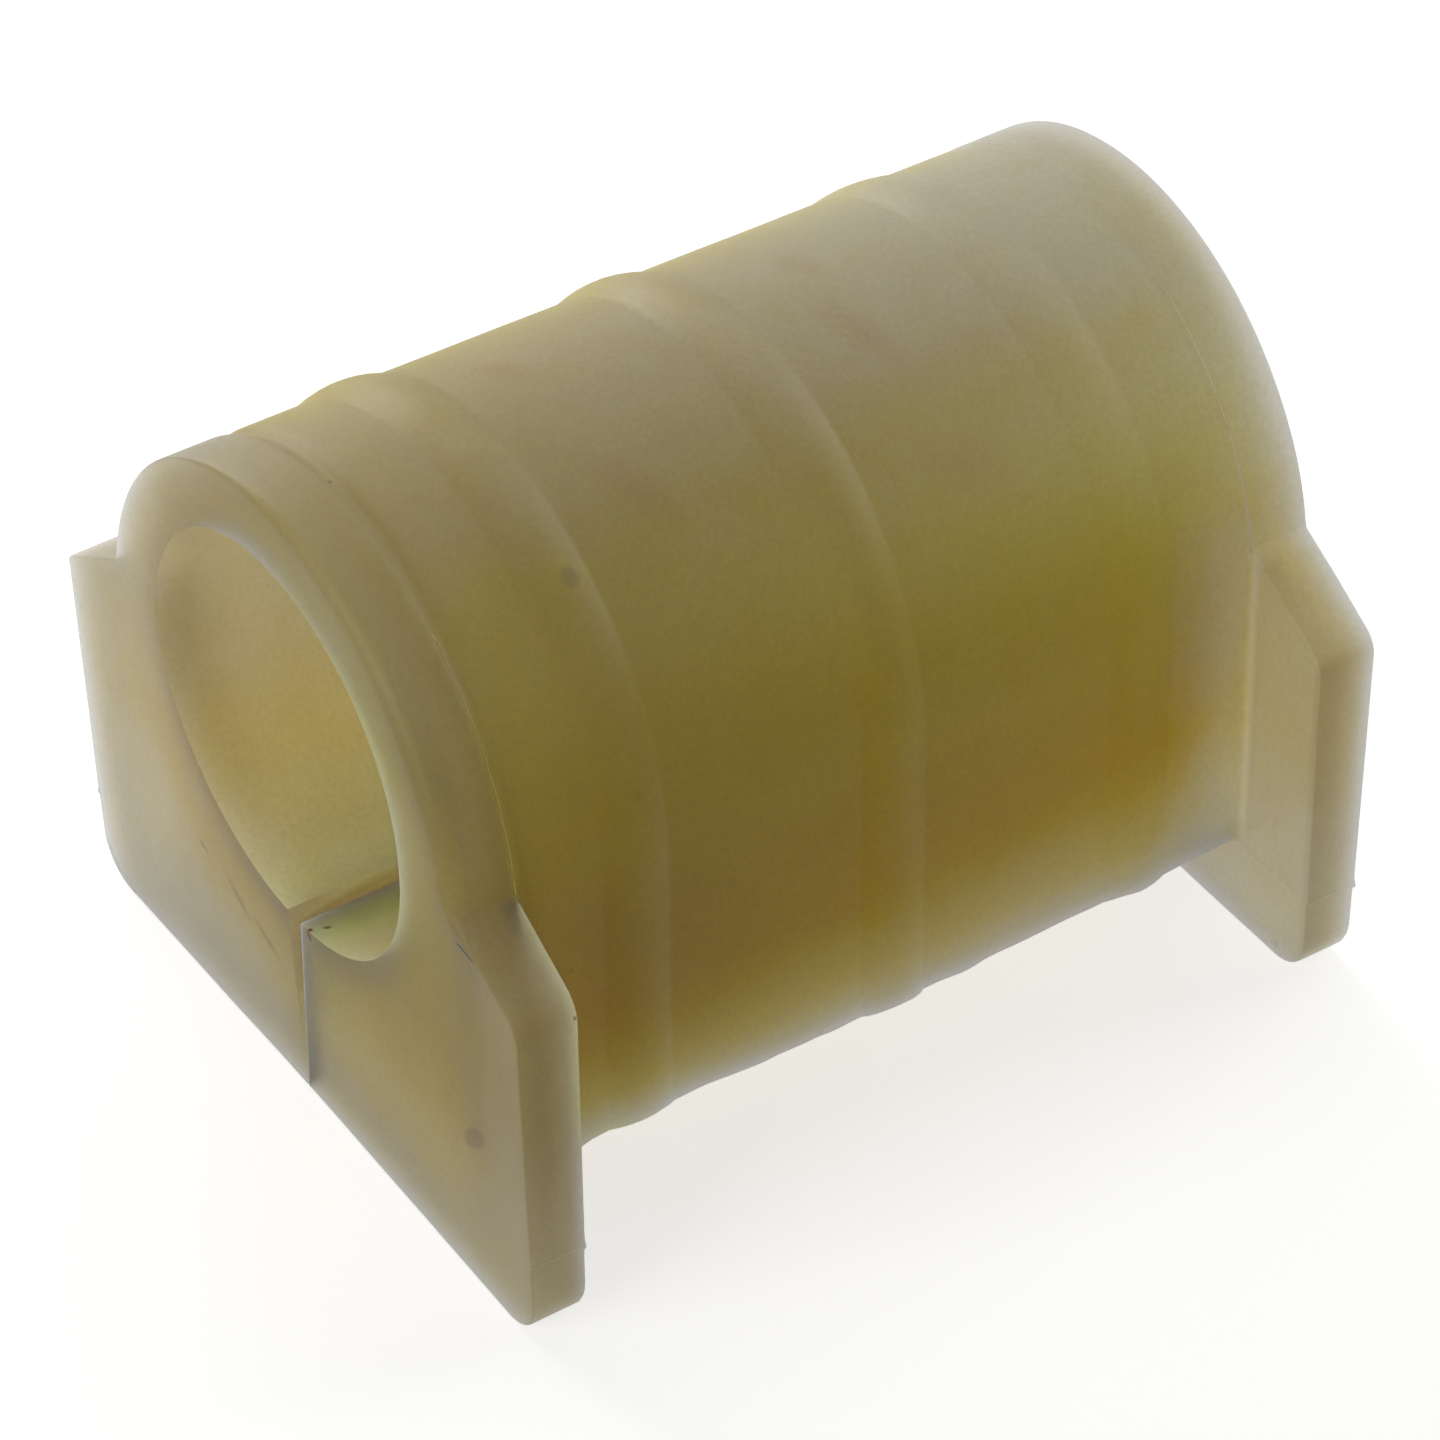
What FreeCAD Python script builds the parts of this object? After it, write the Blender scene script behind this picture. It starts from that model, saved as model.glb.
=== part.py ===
import FreeCAD, Part
import math
import os

from FreeCAD import Vector

# Sway bar bushing: one piece of cast polyurethane, in millimetres.
# X runs across the vehicle bar, Y runs along the bore and Z is up.
# The feet of the two flanges stand on Z = 0, and Y = 0 is half way between the end faces.

# Driving dimensions of the whole piece
length = 100.0
bore_diameter = 45.0
bore_height = 46.0

# Barrel: a round back on two straight sides, with a flat underside
barrel_radius = 31.0
barrel_axis_height = 44.2
underside_height = 10.4

# Flange at each end
flange_thickness = 7.0
flange_half_width = 42.0
shoulder_height = 41.3
shoulder_slope = 30.0
shoulder_radius = 4.0
foot_radius = 5.0
collar_rise = 0.4
end_edge_radius = 1.2

# The end faces lean inwards below the mould parting line
parting_height = 45.5
foot_draft = 1.6

# Grip beads round the barrel
bead_count = 3
bead_spacing = 29.7
bead_width = 7.4
bead_rise = 0.8

# Groove between each flange and the barrel
groove_width = 2.0
groove_depth = 0.45

# Slit that lets the bushing open over the bar
slit_width_at_bore = 2.6
slit_width_at_foot = 0.35

# Small chamfer where the bore comes out of each end face
bore_chamfer = 0.4

half_length = length / 2.0
bore_radius = bore_diameter / 2.0
flange_inner = half_length - flange_thickness
collar_radius = barrel_radius + collar_rise


def along_barrel(y, distance):
    """A point on the horizontal plane through the barrel axis, to the +X side."""
    return Vector(distance, y, barrel_axis_height)


def bead_places():
    first = -(bead_count - 1) * bead_spacing / 2.0
    return [first + number * bead_spacing for number in range(bead_count)]


def barrel_line(side):
    """Edges of the barrel's outer line from the near flange to the far one.

    It is straight at the barrel's radius, dips in a V beside each flange and rises
    in a shallow arc at each bead. side is 1 for +X and -1 for -X.
    """
    def point(y, distance):
        return along_barrel(y, side * distance)

    # the barrel reaches half way into each flange, so that the two join in one solid
    root = half_length - flange_thickness / 2.0
    line_end = barrel_radius - groove_depth
    here = point(-root, line_end)
    edges = []

    def straight_to(there):
        nonlocal here
        edges.append(Part.LineSegment(here, there).toShape())
        here = there

    straight_to(point(-flange_inner + groove_width / 2.0, line_end))
    straight_to(point(-flange_inner + groove_width, barrel_radius))
    for middle in bead_places():
        start = point(middle - bead_width / 2.0, barrel_radius)
        crest = point(middle, barrel_radius + bead_rise)
        end = point(middle + bead_width / 2.0, barrel_radius)
        straight_to(start)
        edges.append(Part.Arc(start, crest, end).toShape())
        here = end
    straight_to(point(flange_inner - groove_width, barrel_radius))
    straight_to(point(flange_inner - groove_width / 2.0, line_end))
    straight_to(point(root, line_end))
    return edges


def make_barrel():
    """The beaded back turned over the top, on straight sides with a flat underside."""
    right = barrel_line(1)
    left = barrel_line(-1)
    near_right = right[0].Vertexes[0].Point
    far_right = right[-1].Vertexes[-1].Point
    near_left = left[0].Vertexes[0].Point
    far_left = left[-1].Vertexes[-1].Point
    near_axis = along_barrel(near_right.y, 0.0)
    far_axis = along_barrel(far_right.y, 0.0)

    turned_edges = list(right)
    turned_edges.append(Part.LineSegment(far_right, far_axis).toShape())
    turned_edges.append(Part.LineSegment(far_axis, near_axis).toShape())
    turned_edges.append(Part.LineSegment(near_axis, near_right).toShape())
    turned_face = Part.Face(Part.Wire(Part.sortEdges(turned_edges)[0]))
    back = turned_face.revolve(near_axis, Vector(0, -1, 0), 180.0)

    plan_edges = right + left
    plan_edges.append(Part.LineSegment(far_right, far_left).toShape())
    plan_edges.append(Part.LineSegment(near_left, near_right).toShape())
    plan_face = Part.Face(Part.Wire(Part.sortEdges(plan_edges)[0]))
    drop = underside_height - barrel_axis_height
    sides = plan_face.extrude(Vector(0, 0, drop))
    return back.fuse(sides)


def rounded_corner(before, corner, after, radius):
    """Start, middle and end of the arc that rounds a corner of an outline."""
    towards_before = (before - corner).normalize()
    towards_after = (after - corner).normalize()
    half_angle = towards_before.getAngle(towards_after) / 2.0
    setback = radius / math.tan(half_angle)
    to_centre = (towards_before + towards_after).normalize()
    middle = corner + to_centre * (radius / math.sin(half_angle) - radius)
    return corner + towards_before * setback, middle, corner + towards_after * setback


def shoulder_start():
    """Where the sloping shoulder leaves the round collar, on the +X side."""
    slope = math.tan(math.radians(shoulder_slope))
    # the shoulder's line is z = rise_at_axis - slope * x, seen from the barrel axis
    rise_at_axis = shoulder_height + slope * flange_half_width - barrel_axis_height
    a = 1.0 + slope ** 2
    b = -2.0 * slope * rise_at_axis
    c = rise_at_axis ** 2 - collar_radius ** 2
    x = (-b + math.sqrt(b ** 2 - 4.0 * a * c)) / (2.0 * a)
    return x, barrel_axis_height + rise_at_axis - slope * x


def flange_face(y):
    """The flange's outline, filled, on the plane at y.

    It is a round collar, sloping shoulders, straight sides and a wide foot.
    """
    start_x, start_z = shoulder_start()

    def at(x, z):
        return Vector(x, y, z)

    edges = [
        Part.Arc(
            at(start_x, start_z),
            at(0.0, barrel_axis_height + collar_radius),
            at(-start_x, start_z),
        ).toShape()
    ]
    for side in (1, -1):
        top = at(side * start_x, start_z)
        shoulder = at(side * flange_half_width, shoulder_height)
        foot = at(side * flange_half_width, 0.0)
        middle_of_foot = at(0.0, 0.0)
        bend = rounded_corner(top, shoulder, foot, shoulder_radius)
        heel = rounded_corner(shoulder, foot, middle_of_foot, foot_radius)
        edges.append(Part.LineSegment(top, bend[0]).toShape())
        edges.append(Part.Arc(*bend).toShape())
        edges.append(Part.LineSegment(bend[2], heel[0]).toShape())
        edges.append(Part.Arc(*heel).toShape())
        edges.append(Part.LineSegment(heel[2], middle_of_foot).toShape())
    return Part.Face(Part.Wire(Part.sortEdges(edges)[0]))


def draft_wedge(end):
    """What the lean of an end face takes off below the parting line; end is 1 or -1."""
    overrun = foot_radius
    x_start = -flange_half_width - overrun
    lean_at_bottom = foot_draft * (parting_height + overrun) / parting_height
    corners = [
        Vector(x_start, end * half_length, parting_height),
        Vector(x_start, end * half_length, -overrun),
        Vector(x_start, end * (half_length - lean_at_bottom), -overrun),
    ]
    wire = Part.makePolygon(corners + corners[:1])
    return Part.Face(wire).extrude(Vector(-2.0 * x_start, 0, 0))


def rounds_the_end_face(edge):
    """True for a flange's edges round its outer face, but not for the crease across it."""
    heights = [vertex.Z for vertex in edge.Vertexes]
    depths = [abs(vertex.Y) for vertex in edge.Vertexes]
    on_the_crease = all(abs(height - parting_height) < 0.001 for height in heights)
    return min(depths) > flange_inner + 0.001 and not on_the_crease


def make_flange(end):
    """One end flange with its draft and its rounded outer edge; end is 1 or -1."""
    inner = flange_face(end * flange_inner)
    flange = inner.extrude(Vector(0, end * flange_thickness, 0))
    flange = flange.cut(draft_wedge(end))
    outer_edges = [edge for edge in flange.Edges if rounds_the_end_face(edge)]
    return flange.makeFillet(end_edge_radius, outer_edges)


def make_bore():
    start = Vector(0, -length, bore_height)
    return Part.makeCylinder(bore_radius, 2.0 * length, start, Vector(0, 1, 0))


def make_slit():
    """V-shaped cut from the bore down through the underside and both feet."""
    bore_bottom = bore_height - bore_radius
    widening = (slit_width_at_bore - slit_width_at_foot) / bore_bottom
    half_top = (slit_width_at_foot + widening * bore_height) / 2.0
    half_foot = slit_width_at_foot / 2.0
    below = -foot_radius
    corners = [
        Vector(-half_top, -length, bore_height),
        Vector(half_top, -length, bore_height),
        Vector(half_foot, -length, 0.0),
        Vector(half_foot, -length, below),
        Vector(-half_foot, -length, below),
        Vector(-half_foot, -length, 0.0),
    ]
    wire = Part.makePolygon(corners + corners[:1])
    return Part.Face(wire).extrude(Vector(0, 2.0 * length, 0))


def is_bore_mouth(edge):
    """True for the edges where the bore comes out of an end face."""
    middle = edge.valueAt((edge.FirstParameter + edge.LastParameter) / 2.0)
    from_bore = math.hypot(middle.x, middle.z - bore_height)
    return abs(from_bore - bore_radius) < 0.01 and abs(middle.y) > flange_inner


def make_bushing():
    """Barrel and flanges joined, then bored, chamfered at the mouths and slit."""
    solid = make_barrel().fuse([make_flange(-1), make_flange(1)])
    solid = solid.removeSplitter()
    solid = solid.cut(make_bore())
    mouths = [edge for edge in solid.Edges if is_bore_mouth(edge)]
    solid = solid.makeChamfer(bore_chamfer, mouths)
    solid = solid.cut(make_slit())
    return solid.Solids[0]


os.makedirs("parts", exist_ok=True)
bushing = make_bushing()
bushing.exportStep("parts/bushing.step")
print("bushing", bushing.isValid(), round(bushing.Volume / 1000.0, 2), "cm3", bushing.BoundBox)
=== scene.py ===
import math

import bpy
import numpy as np
from mathutils import Matrix, Vector


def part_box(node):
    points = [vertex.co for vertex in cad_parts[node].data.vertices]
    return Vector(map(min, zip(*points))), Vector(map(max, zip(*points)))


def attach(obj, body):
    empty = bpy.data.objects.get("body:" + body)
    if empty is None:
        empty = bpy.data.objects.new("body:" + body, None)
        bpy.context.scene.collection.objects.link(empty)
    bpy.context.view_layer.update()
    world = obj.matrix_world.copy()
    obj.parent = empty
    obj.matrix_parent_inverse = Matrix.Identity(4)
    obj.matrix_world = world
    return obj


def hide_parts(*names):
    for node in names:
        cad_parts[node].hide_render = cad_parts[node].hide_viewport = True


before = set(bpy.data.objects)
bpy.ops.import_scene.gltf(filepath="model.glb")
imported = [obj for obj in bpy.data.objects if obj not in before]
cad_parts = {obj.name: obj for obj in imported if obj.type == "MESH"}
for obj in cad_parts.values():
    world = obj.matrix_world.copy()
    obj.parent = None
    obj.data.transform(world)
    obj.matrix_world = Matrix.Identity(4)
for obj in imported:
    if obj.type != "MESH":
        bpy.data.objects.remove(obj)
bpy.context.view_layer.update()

# Everything below is worked out in millimetres, in the frame of the part:
# X across the bar, Y along the bore, Z up from the feet. The near end is the one at -Y.
MM = 0.001
NEAR = -1
FAR = 1
RIGHT = 1
LEFT = -1
node_low, node_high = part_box("bushing")
HALF_LENGTH = node_high[1] / MM

# Sizes of the casting
BORE_RADIUS = 22.5
BORE_HEIGHT = 46.0
BARREL_RADIUS = 31.0
BARREL_AXIS = 44.2
UNDERSIDE = 10.4
FLANGE_INNER = HALF_LENGTH - 7.0
FLANGE_HALF_WIDTH = 42.0
FOOT_RADIUS = 5.0
PARTING_HEIGHT = 45.5
GROOVE_DEPTHS = {NEAR: 0.45, FAR: 0.08}
GROOVE_REACH = 2.2
BEAD_PLACES = (-29.7, 0.0, 29.7)
BEAD_HALF_WIDTH = 3.7
BEAD_RISES = (0.8, 0.8, 0.5)

# The mould's own draft: the barrel is a little fuller towards the near end, and both
# end faces lean in below the crease, the near one less towards its right leg
TAPER = -0.0105
TAPER_AT_MIDDLE = -0.08
FOOT_DRAFT = {NEAR: 1.6, FAR: 1.2}
RIGHT_LEG_OUT = 0.65

# The collar and the shoulders of each flange as they came out of the mould: the collar's
# radius, how far over the barrel's axis the shoulders reach, and each one's half width,
# height, slope and radius of bend
COLLARS = {NEAR: 31.5, FAR: 30.5}
SHOULDER_TOP = 6.0
SHOULDERS = {
    (NEAR, RIGHT): (41.9, 41.3, 30.0, 4.0),
    (NEAR, LEFT): (41.8, 41.9, 33.0, 1.0),
    (FAR, RIGHT): (41.85, 41.6, 30.0, 3.0),
    (FAR, LEFT): (41.6, 41.6, 30.0, 3.0),
}

# The core pin stood a little to the left, and the slit leans with it
BORE_SHIFT = -0.9
BORE_SQUASH = 0.3
SLIT_AT_BORE = -0.8
SLIT_AT_FOOT = -1.5
SLIT_WIDTH_AT_BORE = 2.5
SLIT_WIDTH_AT_FOOT = 0.35

# Where the outlines of the bore, in degrees, and of the barrel are cut so that they
# answer to the corners of the flanges
BORE_STOPS = (-64.0, -54.0, -51.0, -50.0, -12.0, -6.0, 4.0, 90.0)
UNDERSIDE_STOPS = (23.0, 29.0)
SIDE_STOPS = (38.0, 41.0)

# Rounding of the moulded edges. The near end plate stood to the left as well,
# so the near collar's edge is wide on the right and crisp on the left.
MOUTH_EDGE = 0.12
FLANGE_EDGE = 0.3
NEAR_COLLAR_EDGE = 1.1
NEAR_COLLAR_SHIFT = 1.5
FAR_COLLAR_EDGE = 0.7
INNER_EDGE = 0.3
ROOT_EDGE = 0.4
UNDERSIDE_EDGE = 0.5

# How far the low step from a collar to the barrel is spread along the barrel
COLLAR_STEP_REACH = 1.1

# Mould marks. The barrel's right lower edge was trimmed along a line of its own:
# places along the barrel, and how far the trim stands above the underside there.
TRIM_LINE = ((-43.0, 1.2), (-30.0, 1.35), (-20.0, 1.05), (-8.0, 0.45), (12.0, 0.3),
             (22.0, 0.2), (28.0, 0.5), (33.0, 0.2), (43.0, 0.5))
TRIM_HEIGHT_LEFT = 0.2
TRIM_LIFT = 0.45
TRIM_REACH = 2.0
FLASH_WIDTH = 0.5
FLASH_REACH = 0.45
PARTING_RIDGE = 0.05
RIDGE_REACH = 0.16
RIDGE_BAND = 0.6
PARTING_STEP = 0.12
NUB_SIZE = 0.45
NUBS = ((41.9, -43.3), (41.9, 49.0), (-41.9, -49.0))
WAVE_HEIGHT = 0.06
WAVE_LENGTH = 16.0


def arc(centre, radius, start, end, count=200):
    """Points on a circle in the XZ plane, between two angles in degrees from +X."""
    angle = np.radians(np.linspace(start, end, count))
    return np.stack([centre[0] + radius * np.cos(angle), centre[1] + radius * np.sin(angle)], 1)


def line(start, end, count=200):
    """Points evenly spaced along a straight line in the XZ plane."""
    share = np.linspace(0.0, 1.0, count)[:, None]
    return (1.0 - share) * np.array(start, float) + share * np.array(end, float)


def slit_edge(side, height):
    """Distance of the slit's wall from the middle, on one side, at a height.

    Both the middle of the slit and its width change evenly from the foot to the bore.
    """
    share = height / (BORE_HEIGHT - BORE_RADIUS)
    middle = SLIT_AT_FOOT + (SLIT_AT_BORE - SLIT_AT_FOOT) * share
    width = SLIT_WIDTH_AT_FOOT + (SLIT_WIDTH_AT_BORE - SLIT_WIDTH_AT_FOOT) * share
    return side * middle + width / 2.0


def collar_angle(collar, half_width, height, slope):
    """Angle on the collar, in degrees, where the sloping shoulder meets it."""
    rate = math.tan(math.radians(slope))
    rise = height + rate * half_width - BARREL_AXIS
    a = 1.0 + rate ** 2
    b = -2.0 * rate * rise
    c = rise ** 2 - collar ** 2
    x = (-b + math.sqrt(b ** 2 - 4.0 * a * c)) / (2.0 * a)
    return math.degrees(math.asin((rise - rate * x) / collar))


def bore_stretches(side):
    """The bore from the slit to the top, cut where the outer forms change."""
    centre = (side * BORE_SHIFT, BORE_HEIGHT)
    opening = slit_edge(side, BORE_HEIGHT - BORE_RADIUS) - centre[0]
    first = -math.degrees(math.acos(opening / BORE_RADIUS))
    stops = (first, *BORE_STOPS)
    stretches = [arc(centre, BORE_RADIUS, a, b) for a, b in zip(stops, stops[1:])]
    for stretch in stretches:
        over = (stretch[:, 1] - BORE_HEIGHT) / BORE_RADIUS
        stretch[:, 1] -= BORE_SQUASH * over * np.abs(over)
    return stretches


def barrel_stretches(side):
    """The D of the barrel from the slit to the top: underside, edge, side and round back."""
    edge_x = BARREL_RADIUS - UNDERSIDE_EDGE
    edge_z = UNDERSIDE + UNDERSIDE_EDGE
    meets = collar_angle(BARREL_RADIUS, *SHOULDERS[FAR, RIGHT][:3])
    inner, outer = UNDERSIDE_STOPS
    lower, upper = SIDE_STOPS
    side_top = line((BARREL_RADIUS, upper), (BARREL_RADIUS, BARREL_AXIS))
    back_start = arc((0.0, BARREL_AXIS), BARREL_RADIUS, 0.0, meets)
    return [
        line((slit_edge(side, UNDERSIDE), UNDERSIDE), (inner, UNDERSIDE)),
        line((inner, UNDERSIDE), (outer, UNDERSIDE)),
        line((outer, UNDERSIDE), (edge_x, UNDERSIDE)),
        arc((edge_x, edge_z), UNDERSIDE_EDGE, -90.0, 0.0),
        line((BARREL_RADIUS, edge_z), (BARREL_RADIUS, lower)),
        line((BARREL_RADIUS, lower), (BARREL_RADIUS, upper)),
        np.concatenate([side_top, back_start[1:]]),
        arc((0.0, BARREL_AXIS), BARREL_RADIUS, meets, 90.0),
    ]


def flange_stretches(end, side):
    """A flange from the slit to the top: foot, heel, side, shoulder, slope and collar."""
    half_width, height, slope, bend_radius = SHOULDERS[end, side]
    collar = COLLARS[end]
    meets = collar_angle(collar, half_width, height, slope)
    heel = (half_width - FOOT_RADIUS, FOOT_RADIUS)
    setback = bend_radius * math.tan(math.radians(90.0 - slope) / 2.0)
    bend = (half_width - bend_radius, height - setback)
    slope_start = arc(bend, bend_radius, 90.0 - slope, 90.0)[0]
    slope_end = arc((0.0, BARREL_AXIS), collar, meets, 90.0)[0]
    low = UNDERSIDE - RIDGE_BAND
    high = UNDERSIDE + RIDGE_BAND
    return [
        line((slit_edge(side, 0.0), 0.0), (heel[0], 0.0)),
        arc(heel, FOOT_RADIUS, -90.0, 0.0),
        line((half_width, FOOT_RADIUS), (half_width, low)),
        line((half_width, low), (half_width, high)),
        line((half_width, high), (half_width, bend[1])),
        arc(bend, bend_radius, 0.0, 90.0 - slope),
        line(slope_start, slope_end),
        arc((0.0, BARREL_AXIS), collar, meets, 90.0),
    ]


# How many points each stretch of an outline has, the same on all the outlines
STRETCH_POINTS = (18, 9, 5, 14, 24, 8, 10, 72)

# Rows of points on the way round the wall: a mouth's edge, the end face, its outer edge,
# the flange's rim, its inner edge, the step to the barrel, the root, barrel and bore
MOUTH_ROWS = 5
FACE_ROWS = 20
EDGE_ROWS = 8
RIM_ROWS = 8
INNER_ROWS = 5
STEP_ROWS = 10
ROOT_ROWS = 5
BARREL_ROWS = 96
BORE_ROWS = 30


def spaced(points, count):
    """The same line with its points evenly spaced along it, without its last point."""
    steps = np.hypot(*np.diff(points, axis=0).T)
    travelled = np.concatenate([[0.0], np.cumsum(steps)])
    wanted = np.linspace(0.0, travelled[-1], count, endpoint=False)
    return np.stack([np.interp(wanted, travelled, points[:, axis]) for axis in (0, 1)], 1)


def whole_outline(stretches):
    """An outline from the slit's right wall over the top to its left wall.

    Each half is worked out to +X and the left one is mirrored. Point for point,
    the bore, the barrel and the flanges answer to each other along this line.
    """
    halves = []
    for side in (RIGHT, LEFT):
        pieces = stretches(side)
        half = np.concatenate([spaced(p, n) for p, n in zip(pieces, STRETCH_POINTS)])
        half[:, 0] *= side
        top = pieces[-1][-1] * (side, 1.0)
        halves.append(np.concatenate([half, [top]]))
    return np.concatenate([halves[0], halves[1][::-1][1:]])


def outward(outline):
    """Unit normals in XYZ of an outline that runs anticlockwise as seen from the near end."""
    along = np.gradient(outline, axis=0)
    normal = np.stack([along[:, 1], np.zeros(len(along)), -along[:, 0]], 1)
    return normal / np.linalg.norm(normal, axis=1)[:, None]


def lean(outline, end):
    """How far an end face stands in from the full length, for each point of its outline."""
    draft = FOOT_DRAFT[end]
    if end == NEAR:
        draft = draft - RIGHT_LEG_OUT * np.maximum(0.0, outline[:, 0]) / FLANGE_HALF_WIDTH
    return draft * np.maximum(0.0, 1.0 - outline[:, 1] / PARTING_HEIGHT)


def end_edge(outline, end):
    """Radius of the edge round an end face, for each point of its outline."""
    above = np.clip((outline[:, 1] - PARTING_HEIGHT) / 4.0, 0.0, 1.0)
    if end == NEAR:
        on_collar = NEAR_COLLAR_EDGE + NEAR_COLLAR_SHIFT * outline[:, 0] / COLLARS[NEAR]
    else:
        on_collar = FAR_COLLAR_EDGE
    return FLANGE_EDGE + (np.maximum(on_collar, FLANGE_EDGE) - FLANGE_EDGE) * above


def eased(value, start, end):
    """0 at start and 1 at end, joined by a smooth S."""
    share = np.clip((value - start) / (end - start), 0.0, 1.0)
    return share * share * (3.0 - 2.0 * share)


def bump_over(value, start, middle, end):
    """1 at the middle, falling smoothly to 0 at the start and at the end."""
    return eased(value, start, middle) * eased(value, end, middle)


def barrel_rise(y):
    """Height over the plain barrel along its length: draft, three beads, a groove at each end."""
    rise = TAPER_AT_MIDDLE + TAPER * y
    for place, height in zip(BEAD_PLACES, BEAD_RISES):
        across = (y - place) / BEAD_HALF_WIDTH
        rise = rise + height * np.maximum(0.0, 1.0 - across ** 2)
    depth = np.where(y < 0.0, GROOVE_DEPTHS[NEAR], GROOVE_DEPTHS[FAR])
    return rise - depth * eased(np.abs(y), FLANGE_INNER - GROOVE_REACH, FLANGE_INNER)


def solid_here(points):
    """True where a point lies inside the casting, for an array of points.

    For this, both flanges are as the near one's right half.
    """
    x, y, z = np.abs(points[..., 0]), points[..., 1], points[..., 2]
    half_width, height, slope = SHOULDERS[NEAR, RIGHT][:3]
    draft = FOOT_DRAFT[NEAR] * np.maximum(0.0, 1.0 - z / PARTING_HEIGHT)
    over_axis = z - BARREL_AXIS
    from_middle = np.hypot(x, np.maximum(over_axis, 0.0))
    in_length = np.abs(y) < FLANGE_INNER
    barrel = (from_middle < BARREL_RADIUS + barrel_rise(y)) & (z > UNDERSIDE) & in_length
    under_slope = z < height + (half_width - x) * math.tan(math.radians(slope))
    plate = (x < half_width) & (z > 0.0) & (over_axis < SHOULDER_TOP) & under_slope
    collar = (from_middle < COLLARS[NEAR]) & (over_axis > 0.0)
    in_flange = ~in_length & (np.abs(y) < HALF_LENGTH - draft)
    off_bore = np.hypot(points[..., 0] - BORE_SHIFT, z - BORE_HEIGHT) > BORE_RADIUS
    return (barrel | ((plate | collar) & in_flange)) & off_bore


def directions(count):
    """Unit vectors spread evenly over the sphere along a golden spiral."""
    number = np.arange(count) + 0.5
    height = 1.0 - 2.0 * number / count
    turn = math.pi * (1.0 + math.sqrt(5.0)) * number
    across = np.sqrt(1.0 - height ** 2)
    return np.stack([across * np.cos(turn), across * np.sin(turn), height], 1)


# Rays through the elastomer: how deep under the skin they start, how straight in a ray
# has to go to count, how many there are, their steps, and the length of elastomer that
# takes two thirds of the light
RAY_START = 0.3
LEAST_STRAIGHT = 0.05
RAY_COUNT = 60
RAY_STEPS = 14
FIRST_STEP = 0.7
LAST_STEP = 4.0
LIGHT_REACH = 8.0


def thinness(points, normals):
    """How freely light comes through the elastomer from behind each point, from 0 to 1.

    Rays go inwards from just under the surface and stop where they leave the casting.
    Each one's light falls off with the length it crossed, and counts the more the
    straighter it goes in.
    """
    start = points - RAY_START * normals
    steps = np.geomspace(FIRST_STEP, LAST_STEP, RAY_STEPS)
    places = np.cumsum(steps) - steps / 2.0
    light = np.zeros(len(points))
    share = np.zeros(len(points))
    for way in directions(RAY_COUNT):
        straight = np.maximum(0.0, -(normals @ way))
        inward = np.nonzero(straight > LEAST_STRAIGHT)[0]
        inside = np.ones(len(inward), bool)
        crossed = np.zeros(len(inward))
        for step, place in zip(steps, places):
            inside &= solid_here(start[inward] + way * place)
            crossed += inside * step
        light[inward] += straight[inward] * np.exp(-crossed / LIGHT_REACH)
        share[inward] += straight[inward]
    return light / share


def waves(points, length, seed):
    """A gentle unevenness between -1 and 1: sines of about one length laid in many directions."""
    chance = np.random.default_rng(seed)
    total = np.zeros(points.shape[:-1])
    ways = directions(9)
    for way in ways:
        pitch = 2.0 * math.pi / (length * chance.uniform(0.7, 1.4))
        total += np.sin(points @ way * pitch + chance.uniform(0.0, 2.0 * math.pi))
    return total / len(ways)


def ragged(places, size, seed):
    """Random heights between 0 and 1, spaced by size along a line and joined smoothly."""
    chance = np.random.default_rng(seed)
    low = places.min() - size
    knots = np.arange(low, places.max() + 2.0 * size, size)
    heights = chance.uniform(0.0, 1.0, len(knots))
    share = (places - low) / size
    left = np.clip(np.floor(share).astype(int), 0, len(knots) - 2)
    blend = share - left
    blend = blend * blend * (3.0 - 2.0 * blend)
    return heights[left] * (1.0 - blend) + heights[left + 1] * blend


def barrel_places():
    """Rows along the barrel, closer together at the edges of the beads."""
    end = FLANGE_INNER - COLLAR_STEP_REACH - 0.3
    even = np.linspace(-end, end, BARREL_ROWS)
    edges = [place + side * BEAD_HALF_WIDTH for place in BEAD_PLACES for side in (-1, 1)]
    close = np.array([edge + step for edge in edges for step in (-0.3, 0.0, 0.3)])
    gap = np.abs(even[:, None] - close[None, :]).min(1)
    return np.sort(np.concatenate([even[gap > 0.25], close]))


def in_space(outline, y):
    """An outline in the XZ plane carried to y, which is one number or one for each point."""
    return np.stack([outline[:, 0], np.broadcast_to(y, len(outline)), outline[:, 1]], 1)


def corner_rows(corner, arriving, leaving, before, after, steps):
    """Rows round one corner of the wall's section.

    They lie on a quarter of an ellipse that leaves the arriving direction and joins the
    leaving one: corner - arriving before (1 - sin a) + leaving after (1 - cos a).
    """
    angle = np.linspace(0.0, math.pi / 2.0, steps)[:, None, None]
    before = np.broadcast_to(before, len(corner))[:, None]
    after = np.broadcast_to(after, len(corner))[:, None]
    back = before * (1.0 - np.sin(angle))
    on = after * (1.0 - np.cos(angle))
    return corner - arriving * back + leaving * on


def rows_between(first, last, count):
    """Rows evenly spaced between two rows, without those two."""
    share = np.linspace(0.0, 1.0, count + 2)[1:-1, None, None]
    return first * (1.0 - share) + last * share


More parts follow.
